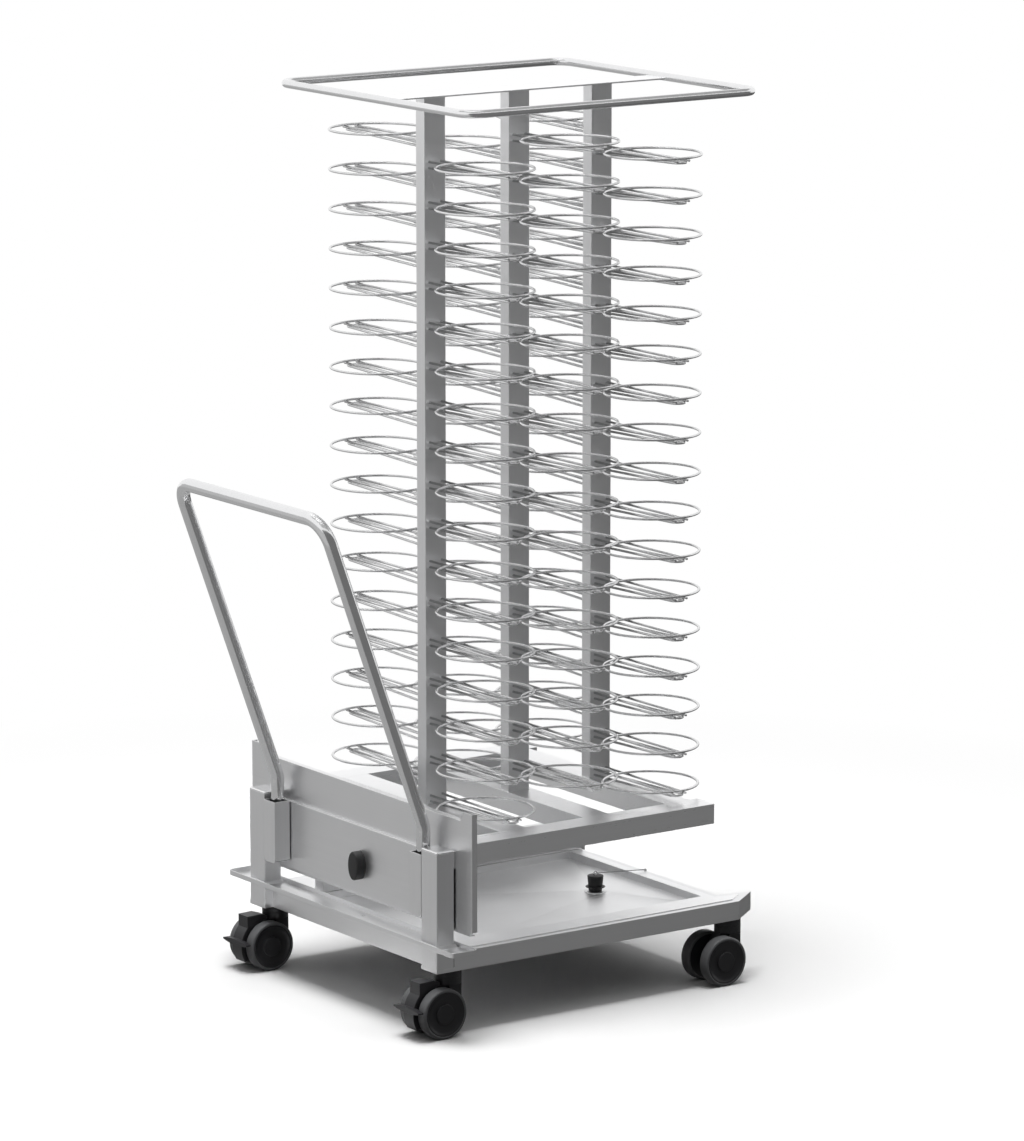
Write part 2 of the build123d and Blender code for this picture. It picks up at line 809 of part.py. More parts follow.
# Top loop: closed tube round the rack, and the flat strip that ties it to the uprights
loop_front_x = loop_centre_x - loop_half_length
loop_rear_x = loop_centre_x + loop_half_length
loop_radius = loop_tube_diameter / 2

with BuildPart() as top_loop:
    with BuildSketch(level(loop_centre_z), mode=Mode.PRIVATE) as loop_plan:
        with Locations((loop_centre_x, 0)):
            RectangleRounded(2 * loop_half_length, 2 * loop_half_width, loop_corner_radius)
    loop_way = loop_plan.sketch.face().outer_wire()
    with BuildSketch(across(loop_centre_x)):
        with Locations((-loop_half_width, loop_centre_z)):
            Circle(loop_radius)
            Circle(loop_radius - loop_tube_wall, mode=Mode.SUBTRACT)
    sweep(path=loop_way)
top_loop.part.label = "top_loop"
export_step(top_loop.part, "parts/top_loop.step")

with BuildPart() as top_strip:
    add_block(
        (loop_front_x, loop_rear_x),
        (-strip_width / 2, strip_width / 2),
        (strip_bottom, strip_top),
    )
    with BuildSketch(along(strip_width)):
        with Locations((loop_front_x, loop_centre_z), (loop_rear_x, loop_centre_z)):
            Circle(loop_radius)
    extrude(amount=2 * strip_width, mode=Mode.SUBTRACT)
top_strip.part.label = "top_strip"
export_step(top_strip.part, "parts/top_strip.step")


# Caster collars: a fixed round plate and swivel pin under each mounting plate
stem_places = [
    ("front_near", stem_front_x, -stem_y),
    ("front_far", stem_front_x, stem_y),
    ("rear_near", stem_rear_x, -stem_y),
    ("rear_far", stem_rear_x, stem_y),
]
pin_bottom = collar_bottom - pin_depth

with BuildPart() as caster_collars:
    for name, x, y in stem_places:
        with BuildSketch(level(collar_bottom)):
            with Locations((x, y)):
                Circle(housing_diameter / 2)
        extrude(amount=collar_thickness)
        with BuildSketch(level(pin_bottom)):
            with Locations((x, y)):
                Circle(stem_diameter / 2)
        extrude(amount=post_bottom - pin_bottom)
caster_collars.part.label = "caster_collars"
export_step(caster_collars.part, "parts/caster_collars.step")


# Caster parts, each built once with its swivel axis at the middle upright's place
housing_edge_z = wheel_diameter + wheel_top_gap
inner_face = (wheel_spacing - wheel_width) / 2
outer_face = (wheel_spacing + wheel_width) / 2
boss_end = inner_face - axle_side_gap
axle_end = outer_face - hub_cap_thickness - axle_side_gap
tyre_inner_radius = wheel_radius - tyre_thickness

with BuildPart() as housing:
    with BuildSketch(level(housing_edge_z)):
        Circle(housing_diameter / 2)
    extrude(amount=housing_top - housing_edge_z)
    with BuildSketch(level(body_bottom_z)):
        Circle(housing_diameter / 2)
        with Locations((body_start_x + housing_diameter / 2, 0)):
            Rectangle(housing_diameter, 2 * body_half_width, mode=Mode.INTERSECT)
    extrude(amount=housing_edge_z - body_bottom_z)
    with BuildSketch(along(fork_plate_half_width)):
        with Locations((-trail, axle_z)):
            Circle(fork_radius)
        with BuildLine():
            Polyline(
                (-housing_diameter / 2, housing_edge_z),
                (-trail - fork_radius * neck_lean, axle_z + fork_radius * neck_rise),
                (-trail, axle_z),
                (-trail + fork_radius * neck_lean, axle_z - fork_radius * neck_rise),
                (fork_plate_half_width, body_bottom_z),
                (fork_plate_half_width, housing_edge_z),
                close=True,
            )
        make_face()
    extrude(amount=2 * fork_plate_half_width)
    with BuildSketch(along(boss_end)):
        with Locations((-trail, axle_z)):
            Circle(boss_diameter / 2)
    extrude(amount=2 * boss_end)
    with BuildSketch(along(boss_end)):
        with Locations((-trail, axle_z)):
            Circle(axle_diameter / 2)
    extrude(amount=2 * boss_end, mode=Mode.SUBTRACT)
    with BuildSketch(level(pin_bottom - swivel_gap)):
        Circle(stem_diameter / 2 + axle_clearance)
    extrude(amount=housing_top - pin_bottom + swivel_gap, mode=Mode.SUBTRACT)

with BuildPart() as axle:
    with BuildSketch(along(axle_end)):
        with Locations((-trail, axle_z)):
            Circle(axle_diameter / 2)
    extrude(amount=2 * axle_end)

with BuildPart() as hub:
    with BuildSketch(level(axle_z)):
        with BuildLine():
            Polyline(
                (axle_diameter / 2 + axle_clearance - trail, inner_face),
                (tyre_inner_radius - trail, inner_face),
                (tyre_inner_radius - trail, outer_face),
                (tyre_inner_radius - hub_rim_width - trail, outer_face),
                (hub_cap_diameter / 2 + hub_dish - trail, outer_face - hub_dish),
                (hub_cap_diameter / 2 - trail, outer_face - hub_dish),
                (hub_cap_diameter / 2 - trail, outer_face),
                (-trail, outer_face),
                (-trail, outer_face - hub_cap_thickness),
                (axle_diameter / 2 + axle_clearance - trail, outer_face - hub_cap_thickness),
                close=True,
            )
        make_face()
    revolve(axis=Axis((middle_x - trail, 0, axle_z), (0, 1, 0)))

with BuildPart() as tyre:
    with BuildSketch(along(inner_face)):
        with Locations((-trail, axle_z)):
            Circle(wheel_radius)
            Circle(tyre_inner_radius, mode=Mode.SUBTRACT)
    extrude(amount=-wheel_width)
    fillet(tyre.edges().filter_by(GeomType.CIRCLE).group_by(SortBy.RADIUS)[-1], shoulder_radius)


# Brake on the front casters: shield and wide pedal on two cheeks that turn about the axle
cheek_inner = fork_plate_half_width + brake_gap
cheek_outer = cheek_inner + brake_cheek_thickness
cheek_hole = boss_diameter / 2 + brake_gap
cheeks = [(cheek_inner, cheek_outer), (-cheek_outer, -cheek_inner)]
shield_radii = (brake_inner_radius, brake_outer_radius)
cheek_radii = (boss_diameter / 2, brake_inner_radius + brake_gap)


def around_axle(radius, angle):
    """Place in the wheel's plane at a radius from the axle, angles rising from the front."""
    return (-trail - radius * cos(radians(angle)), axle_z + radius * sin(radians(angle)))


def sector(inner_radius, outer_radius, low_angle, high_angle):
    """Inner and outer arc of a ring sector about the axle, each as three places."""
    mid_angle = (low_angle + high_angle) / 2
    arcs = []
    for radius in (inner_radius, outer_radius):
        arcs.append([around_axle(radius, angle) for angle in (low_angle, mid_angle, high_angle)])
    return arcs


lug_outline = [
    (-lug_front, lug_low),
    (-lug_front, lug_high),
    (-lug_crown_front, lug_crown),
    (lug_back, lug_crown - lug_crown_fall),
    (lug_back, lug_low),
]
pedal_sides = (-pedal_width / 2, 0, pedal_width / 2)
pedal_halves = (pedal_tip_thickness / 2, pedal_thickness / 2, pedal_tip_thickness / 2)
pedal_z = axle_z + pedal_axle_rise
pedal_high = [(y, pedal_z + half) for y, half in zip(pedal_sides, pedal_halves)]
pedal_low = [(y, pedal_z - half) for y, half in zip(pedal_sides, pedal_halves)]

with BuildPart() as brake:
    for radii, (low_y, high_y) in (
        (shield_radii, (-brake_half_width, brake_half_width)),
        (cheek_radii, cheeks[0]),
        (cheek_radii, cheeks[1]),
    ):
        inner_arc, outer_arc = sector(*radii, brake_lower_angle, brake_upper_angle)
        with BuildSketch(along(high_y)):
            with BuildLine():
                ThreePointArc(*inner_arc)
                Line(inner_arc[2], outer_arc[2])
                ThreePointArc(*outer_arc)
                Line(outer_arc[0], inner_arc[0])
            make_face()
        extrude(amount=high_y - low_y)
    for low_y, high_y in cheeks:
        with BuildSketch(along(high_y)):
            with Locations((-trail, axle_z)):
                Circle(cheek_hole + brake_eye_width)
        extrude(amount=high_y - low_y)
        with BuildSketch(along(high_y)):
            with Locations((-trail, axle_z)):
                Circle(cheek_hole)
        extrude(amount=high_y - low_y, mode=Mode.SUBTRACT)
    with BuildSketch(along(brake_half_width)):
        with BuildLine():
            Polyline(*[(x - trail, axle_z + z) for x, z in lug_outline], close=True)
        make_face()
        with Locations((-trail, axle_z)):
            Circle(brake_inner_radius, mode=Mode.SUBTRACT)
    extrude(amount=2 * brake_half_width)
    with BuildSketch(across(-trail - pedal_front)):
        with BuildLine():
            Line(pedal_low[0], pedal_high[0])
            ThreePointArc(*pedal_high)
            Line(pedal_high[2], pedal_low[2])
            ThreePointArc(*pedal_low)
        make_face()
    extrude(amount=pedal_front - pedal_back)

for name, x, y in stem_places:
    place = Location((x, y, 0))
    pieces = [(housing.part, "housing"), (axle.part, "axle")]
    if x == stem_front_x:
        pieces.append((brake.part, "brake"))
    for side, word in ((-1, "near"), (1, "far")):
        wheel_hub = hub.part if side > 0 else mirror(hub.part, about=Plane.XZ)
        wheel_tyre = tyre.part if side > 0 else mirror(tyre.part, about=Plane.XZ)
        pieces.append((wheel_hub, f"hub_{word}"))
        pieces.append((wheel_tyre, f"tyre_{word}"))
    for solid, word in pieces:
        piece = solid.moved(place)
        piece.label = f"{name}_{word}"
        export_step(piece, f"parts/{piece.label}.step")
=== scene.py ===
"""Dresses the plate rack trolley: wire carriers, satin sheet steel, tubes, casters and a studio."""

import logging
import math
from dataclasses import dataclass, field
from enum import Enum

import bpy
import numpy as np
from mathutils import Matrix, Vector


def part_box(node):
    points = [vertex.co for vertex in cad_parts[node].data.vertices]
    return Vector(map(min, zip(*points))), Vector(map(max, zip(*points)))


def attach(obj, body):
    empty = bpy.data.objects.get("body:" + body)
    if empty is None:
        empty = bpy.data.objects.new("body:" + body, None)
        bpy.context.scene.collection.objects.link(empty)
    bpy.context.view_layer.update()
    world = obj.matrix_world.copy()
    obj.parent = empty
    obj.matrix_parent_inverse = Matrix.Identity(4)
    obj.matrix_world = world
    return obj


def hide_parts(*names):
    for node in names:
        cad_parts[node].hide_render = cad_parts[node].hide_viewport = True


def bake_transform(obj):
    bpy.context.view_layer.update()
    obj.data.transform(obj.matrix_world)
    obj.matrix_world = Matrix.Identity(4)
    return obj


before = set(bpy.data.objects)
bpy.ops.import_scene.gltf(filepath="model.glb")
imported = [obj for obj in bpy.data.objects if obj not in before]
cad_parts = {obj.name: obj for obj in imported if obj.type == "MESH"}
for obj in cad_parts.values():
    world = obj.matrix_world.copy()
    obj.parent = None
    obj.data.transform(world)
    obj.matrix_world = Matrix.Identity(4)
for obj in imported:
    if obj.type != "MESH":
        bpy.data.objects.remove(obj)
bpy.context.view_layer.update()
LOG = logging.getLogger("trolley")
MILLI = 0.001
FULL_TURN = 2.0 * np.pi
SHARP_ANGLE = math.radians(35.0)
FLAT_LEAN = 0.2


class Grain(Enum):
    """Directions that the grinding marks of a sheet can run in."""

    ALONG = (1.5, 420.0, 420.0)
    ACROSS = (420.0, 1.5, 420.0)
    UPRIGHT = (420.0, 420.0, 1.5)
    NONE = (60.0, 60.0, 60.0)


class Value:
    """A shader socket that can be written in Python sums, each of which adds its own Math node."""

    def __init__(self, tree: bpy.types.NodeTree, socket: bpy.types.NodeSocket) -> None:
        """Keep the tree and the socket that this value comes out of."""
        self.tree = tree
        self.socket = socket

    def _math(self, operation: str, *terms: "Value | float") -> "Value":
        """Add a Math node.

        Args:
            operation: the Math node's operation.
            terms: its inputs, in order.
        Returns:
            The result as a new value.
        """
        node = self.tree.nodes.new("ShaderNodeMath")
        node.operation = operation
        for place, term in zip(node.inputs, terms):
            if isinstance(term, Value):
                self.tree.links.new(term.socket, place)
            else:
                place.default_value = float(term)
        return Value(self.tree, node.outputs[0])

    def __add__(self, other: "Value | float") -> "Value":
        """Sum of two values."""
        return self._math("ADD", self, other)

    __radd__ = __add__

    def __mul__(self, other: "Value | float") -> "Value":
        """Product of two values."""
        return self._math("MULTIPLY", self, other)

    __rmul__ = __mul__

    def __sub__(self, other: "Value | float") -> "Value":
        """Difference of two values."""
        return self._math("SUBTRACT", self, other)

    def __rsub__(self, other: float) -> "Value":
        """A number less this value."""
        return self._math("SUBTRACT", other, self)

    def __pow__(self, other: float) -> "Value":
        """This value raised to a power."""
        return self._math("POWER", self, other)

    def limited(self) -> "Value":
        """This value held between 0 and 1."""
        return self._math("MAXIMUM", self._math("MINIMUM", self, 1.0), 0.0)

    def above(self, edge: float) -> "Value":
        """1 where this value is above an edge and 0 elsewhere."""
        return self._math("GREATER_THAN", self, edge)


class Shader:
    """A node tree with one method for any node, and short ones for those used most."""

    def __init__(self, tree: bpy.types.NodeTree) -> None:
        """Empty the tree and keep it."""
        self.tree = tree
        tree.nodes.clear()

    def node(
        self, kind: str, settings: dict | None = None, inputs: dict | None = None
    ) -> bpy.types.Node:
        """Add any node.

        Args:
            kind: the node's type name without its ShaderNode prefix.
            settings: properties set before its sockets.
            inputs: socket names or numbers with numbers, colours, sockets or values.
        Returns:
            The new node.
        """
        made = self.tree.nodes.new("ShaderNode" + kind)
        for name, setting in (settings or {}).items():
            setattr(made, name, setting)
        for name, given in (inputs or {}).items():
            place = made.inputs[name]
            source = given.socket if isinstance(given, Value) else given
            if isinstance(source, bpy.types.NodeSocket):
                self.tree.links.new(source, place)
            else:
                place.default_value = source
        return made

    def value(self, node: bpy.types.Node, name: str | int = 0) -> Value:
        """One output of a node, as a value."""
        return Value(self.tree, node.outputs[name])

    def place(self, stretch: tuple = (1.0, 1.0, 1.0)) -> bpy.types.NodeSocket:
        """Object coordinates, stretched along each axis."""
        where = self.node("TexCoord").outputs["Object"]
        return self.node("Mapping", {}, {"Vector": where, "Scale": stretch}).outputs[0]

    def noise(self, stretch: tuple, scale: float, detail: float) -> Value:
        """Soft noise between 0 and 1 over the stretched coordinates."""
        inputs = {"Vector": self.place(stretch), "Scale": scale, "Detail": detail}
        return self.value(self.node("TexNoise", {}, inputs), "Fac")

    def colours(self, mask: Value, first: tuple, second: tuple) -> bpy.types.NodeSocket:
        """A colour that runs from the first to the second with a mask."""
        inputs = {0: mask, 6: (*first, 1.0), 7: (*second, 1.0)}
        return self.node("Mix", {"data_type": "RGBA"}, inputs).outputs[2]

    def glow(self, strength: "float | Value") -> bpy.types.Node:
        """White light of a strength."""
        return self.node("Emission", {}, {"Color": (1.0, 1.0, 1.0, 1.0), "Strength": strength})

    def surface(self, socket: bpy.types.NodeSocket, kind: str = "Material") -> None:
        """Send a shader to the tree's output, which is the material's or the world's."""
        self.node(f"Output{kind}", {}, {"Surface": socket})


@dataclass(frozen=True)
class Finish:
    """A finish with its colour, gloss and fine relief."""

    CLOUD_SCALE = 6.0
    CLOUD_DETAIL = 4.0
    CLOUD_SHARE = 0.55
    GRAIN_DETAIL = 2.0
    GRAIN_SHARE = 0.45
    SPECK_SCALE = 90.0
    SPECK_DETAIL = 2.0
    SPECK_SWING = 0.04
    RELIEF_DEPTH = 0.0004
    EDGE_SAMPLES = 6

    name: str
    slot: str
    light: tuple[float, float, float]
    dark: tuple[float, float, float]
    metallic: float
    roughness: float
    roughness_swing: float
    grain: Grain
    relief: float
    edge_radius: float = 0.0

    def material(self) -> bpy.types.Material:
        """Build the material once and hand it out again after that.

        Returns:
            The material: a cloudy colour, a grained roughness and a fine bump over rounded edges.
        """
        if self.name in bpy.data.materials:
            return bpy.data.materials[self.name]
        made = bpy.data.materials.new(self.name)
        made.use_nodes = True
        shader = Shader(made.node_tree)
        even = (1.0, 1.0, 1.0)
        clouds = shader.noise(even, self.CLOUD_SCALE, self.CLOUD_DETAIL)
        grain = shader.noise(self.grain.value, 1.0, self.GRAIN_DETAIL)
        specks = shader.noise(even, self.SPECK_SCALE, self.SPECK_DETAIL)
        tone = (clouds * self.CLOUD_SHARE + grain * self.GRAIN_SHARE).limited()
        scatter = (grain - 0.5) * self.roughness_swing + (specks - 0.5) * self.SPECK_SWING
        bump = {"Height": grain, "Strength": self.relief, "Distance": self.RELIEF_DEPTH}
        if self.edge_radius:
            reach = {"Radius": self.edge_radius}
            edge = shader.node("Bevel", {"samples": self.EDGE_SAMPLES}, reach)
            bump["Normal"] = edge.outputs[0]
        inputs = {
            "Base Color": shader.colours(tone, self.dark, self.light),
            "Metallic": self.metallic,
            "Roughness": (scatter + self.roughness).limited(),
            "Normal": shader.node("Bump", {}, bump).outputs[0],
        }
        shader.surface(shader.node("BsdfPrincipled", {}, inputs).outputs[0])
        return made


@dataclass(frozen=True)
class Steel:
    """What all the stainless finishes share."""

    bright: tuple[float, float, float] = (1.0, 1.0, 1.005)
    dull: tuple[float, float, float] = (0.88, 0.885, 0.895)
    swing: float = 0.12
    relief: float = 0.12

    def finish(
        self,
        name: str,
        slot: str,
        grain: Grain,
        roughness: float,
        shade: float = 0.86,
        edge_radius: float = 0.0017,
    ) -> Finish:
        """A stainless finish with its grain in one direction.

        Args:
            name: the material's name.
            slot: the record's material slot.
            grain: the way its grinding marks run.
            roughness: how dull it is.
            shade: how pale it is.
            edge_radius: radius that its edges seem to have, in metres.
        Returns:
            The finish.
        """
        light = tuple(shade * part for part in self.bright)
        dark = tuple(shade * part for part in self.dull)
        return Finish(
            name, slot, light, dark, 1.0, roughness, self.swing, grain, self.relief, edge_radius
        )


STEEL = Steel()
SHEET_ALONG = STEEL.finish("sheet_steel_along", "satin_steel", Grain.ALONG, 0.34)
SHEET_ACROSS = STEEL.finish("sheet_steel_across", "satin_steel", Grain.ACROSS, 0.34)
SHEET_UPRIGHT = STEEL.finish("sheet_steel_upright", "satin_steel", Grain.UPRIGHT, 0.32)
FOLDED_STEEL = STEEL.finish("folded_steel", "satin_steel", Grain.ACROSS, 0.34, 0.86, 0.004)
CAP_STEEL = STEEL.finish("cap_steel", "satin_steel", Grain.ACROSS, 0.22, 0.9, 0.0005)
# The deck and pan finishes are the satin sheet steel made paler (shade 0.96 against 0.86). The
# extra paleness is painted light, standing in for brighter reflections on the deck top and the pan
# floor.
DECK_STEEL_PAINTED_LIGHT = STEEL.finish("deck_steel_painted_light", "satin_steel", Grain.ALONG, 0.3, 0.96)
PAN_STEEL_PAINTED_LIGHT = STEEL.finish("pan_steel_painted_light", "satin_steel", Grain.ALONG, 0.42, 0.96)
TUBE_STEEL = STEEL.finish("tube_steel", "satin_steel", Grain.NONE, 0.17, 0.88)
WIRE_STEEL = STEEL.finish("wire_steel", "bright_wire", Grain.NONE, 0.2, 0.8)
CABLE_STEEL = STEEL.finish("cable_steel", "bright_wire", Grain.NONE, 0.4, 0.2)
AXLE_STEEL = STEEL.finish("axle_steel", "axle_steel", Grain.NONE, 0.35, 0.6)
MOULDED_BLACK = Finish(
    name="moulded_black",
    slot="black_plastic",
    light=(0.022, 0.022, 0.025),
    dark=(0.012, 0.012, 0.014),
    metallic=0.0,
    roughness=0.42,
    roughness_swing=0.08,
    grain=Grain.NONE,
    relief=0.1,
    edge_radius=0.0012,
)
SOFT_BLACK = Finish(
    name="soft_black",
    slot="black_rubber",
    light=(0.02, 0.02, 0.021),
    dark=(0.011, 0.011, 0.012),
    metallic=0.0,
    roughness=0.5,
    roughness_swing=0.06,
    grain=Grain.NONE,
    relief=0.08,
    edge_radius=0.0012,
)
TYRE_GREY = Finish(
    name="tyre_grey",
    slot="grey_tyre",
    light=(0.15, 0.152, 0.158),
    dark=(0.105, 0.107, 0.11),
    metallic=0.0,
    roughness=0.55,
    roughness_swing=0.08,
    grain=Grain.NONE,
    relief=0.12,
)


def box_ends(node: str) -> tuple[np.ndarray, np.ndarray]:
    """Lowest and highest corner of a node's box."""
    low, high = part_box(node)
    return np.array(low), np.array(high)


def turn_of(count: int) -> np.ndarray:
    """Angles of points spread evenly round a circle."""
    return np.linspace(0.0, FULL_TURN, count, endpoint=False)


def link_mesh(name: str, points: list, faces: list) -> bpy.types.Object:
    """Link a new object at the origin, made of points and of the corners of its faces."""
    mesh = bpy.data.meshes.new(name)
    mesh.from_pydata(points, [], faces)
    made = bpy.data.objects.new(name, mesh)
    bpy.context.scene.collection.objects.link(made)
    return made


def add_mesh(
    name: str, points: np.ndarray, faces: list, finish: Finish, smooth: bool = True
) -> bpy.types.Object:
    """Put arrays of points and faces into a new object at the origin.

    Args:
        name: the piece's name.
        points: an array of places, one row each, in metres.
        faces: the corners of each face.
        finish: what it is made of.
        smooth: whether its faces are shaded as one curved surface.
    Returns:
        The new object.
    """
    made = link_mesh(name, points.tolist(), faces)
    made.data.polygons.foreach_set("use_smooth", np.full(len(made.data.polygons), smooth))
    made.data.materials.append(finish.material())
    made.data.update()
    return made


def grid_faces(rows: int, columns: int, closed_rows: bool) -> np.ndarray:
    """Corners of the quads of a grid whose columns close on themselves.

    Args:
        rows: number of rows of points.
        columns: points in a row, the last joined to the first.
        closed_rows: whether the last row joins the first.
    Returns:
        An array of four corners for each quad.
    """
    row = np.arange(rows if closed_rows else rows - 1)[:, None]
    column = np.arange(columns)[None, :]
    below, beside = (row + 1) % rows, (column + 1) % columns
    first, second = row * columns + column, row * columns + beside
    third, fourth = below * columns + beside, below * columns + column
    quads = [np.broadcast_to(quad, (row.size, columns)) for quad in (first, second, third, fourth)]
    return np.stack(quads, axis=-1).reshape(-1, 4)


def capped_faces(rows: int, columns: int) -> list:
    """Faces of an open tube of rings, with a cap on each end."""
    faces = grid_faces(rows, columns, False)[:, ::-1].tolist()
    last = rows * columns
    faces.append(list(range(columns)))
    faces.append(list(range(last - 1, last - columns - 1, -1)))
    return faces


def sweep(
    path: np.ndarray, radius: np.ndarray | float, sides: int, closed: bool = False
) -> tuple[np.ndarray, list]:
    """Carry a circle along a path of points.

    The point at step s and turn t is path(s) + radius(s) * (cos t * side(s) + sin t * up(s)),
    where side and up are square to the path. A flat path's own plane sets up, and any other
    path takes the axis that it leans on least.

    Args:
        path: places along the middle line.
        radius: one radius, or one for each place.
        sides: points round the circle.
        closed: whether the path joins its own start.
    Returns:
        Points and faces, with a cap on each end of an open path.
    """
    if closed:
        ahead = np.roll(path, -1, axis=0) - np.roll(path, 1, axis=0)
    else:
        ahead = np.gradient(path, axis=0)
    ahead /= np.linalg.norm(ahead, axis=1, keepdims=True)
    plane = np.linalg.svd(path - path.mean(axis=0))[2][2]
    if len(path) < 3 or abs(ahead @ plane).max() > FLAT_LEAN:
        plane = np.eye(3)[np.abs(ahead).mean(axis=0).argmin()]
    side = np.cross(ahead, plane)
    side /= np.linalg.norm(side, axis=1, keepdims=True)
    rise = np.cross(side, ahead)
    turn = turn_of(sides)
    reach = np.broadcast_to(np.asarray(radius, dtype=float), (len(path),))[:, None, None]
    ring = np.cos(turn)[None, :, None] * side[:, None] + np.sin(turn)[None, :, None] * rise[:, None]
    points = (path[:, None] + reach * ring).reshape(-1, 3)
    if closed:
        return points, grid_faces(len(path), sides, True)[:, ::-1].tolist()
    return points, capped_faces(len(path), sides)


def rounded_path(corners: list, radius: float, steps: int, closed: bool = False) -> np.ndarray:
    """Round the corners of a run of straight lines.

    Each inner corner becomes an arc tangent to both its lines:
    centre + radius * (cos a * u + sin a * v), with u and v square to each other in the plane of
    the two lines.

    Args:
        corners: the corner places.
        radius: radius of every arc.
        steps: points along each arc, less one.
        closed: whether the run joins its own start.
    Returns:
        Places along the rounded run.
    """
    corners = np.asarray(corners, dtype=float)
    count = len(corners)
    runs = []
    for index in range(count):
        if not closed and index in (0, count - 1):
            runs.append(corners[index][None])
            continue
        here = corners[index]
        back = corners[index - 1] - here
        on = corners[(index + 1) % count] - here
        back /= np.linalg.norm(back)
        on /= np.linalg.norm(on)
        half = math.acos(float(back @ on)) / 2.0
        middle = (back + on) / np.linalg.norm(back + on)
        centre = here + middle * radius / math.sin(half)
        first = here + back * radius / math.tan(half) - centre
        last = here + on * radius / math.tan(half) - centre
        first_way = first / radius
        square = last / radius - first_way * float(first_way @ last) / radius
        square /= np.linalg.norm(square)
        angle = np.linspace(0.0, math.pi - 2.0 * half, steps + 1)[:, None]
        runs.append(centre + radius * (np.cos(angle) * first_way + np.sin(angle) * square))
    return np.concatenate(runs)


def lathe(profile: np.ndarray, centre: np.ndarray, way: int, sides: int) -> tuple[np.ndarray, list]:
    """Turn a profile of radius and reach about the Y axis through a centre.

    The point at step s and turn t is centre + (radius * cos t, way * reach, radius * sin t).

    Args:
        profile: rows of radius and reach.
        centre: a place on the axis.
        way: 1 for a reach towards +Y, -1 towards -Y.
        sides: points round the circle.
    Returns:
        Points and faces, with the profile closed on itself.
    """
    turn = turn_of(sides)[None, :]
    radius, reach = profile[:, 0, None], profile[:, 1, None]
    across = np.broadcast_to(way * reach, (len(profile), sides))
    points = np.stack([radius * np.cos(turn), across, radius * np.sin(turn)], axis=-1) + centre
    faces = grid_faces(len(profile), sides, True)
    return points.reshape(-1, 3), (faces if way > 0 else faces[:, ::-1]).tolist()


def dress(finish: Finish, *nodes: str) -> None:
    """Give nodes of the frame their finish."""
    for node in nodes:
        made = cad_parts[node]
        made.data.materials.clear()
        made.data.materials.append(finish.material())
        LOG.info("dressed %s in %s", node, finish.name)


def fit(made: bpy.types.Object, body: str, *nodes: str) -> None:
    """Let a new piece ride on a body and stand for its nodes."""
    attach(made, body)
    if nodes:
        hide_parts(*nodes)
    LOG.info("made %s on %s", made.name, body)


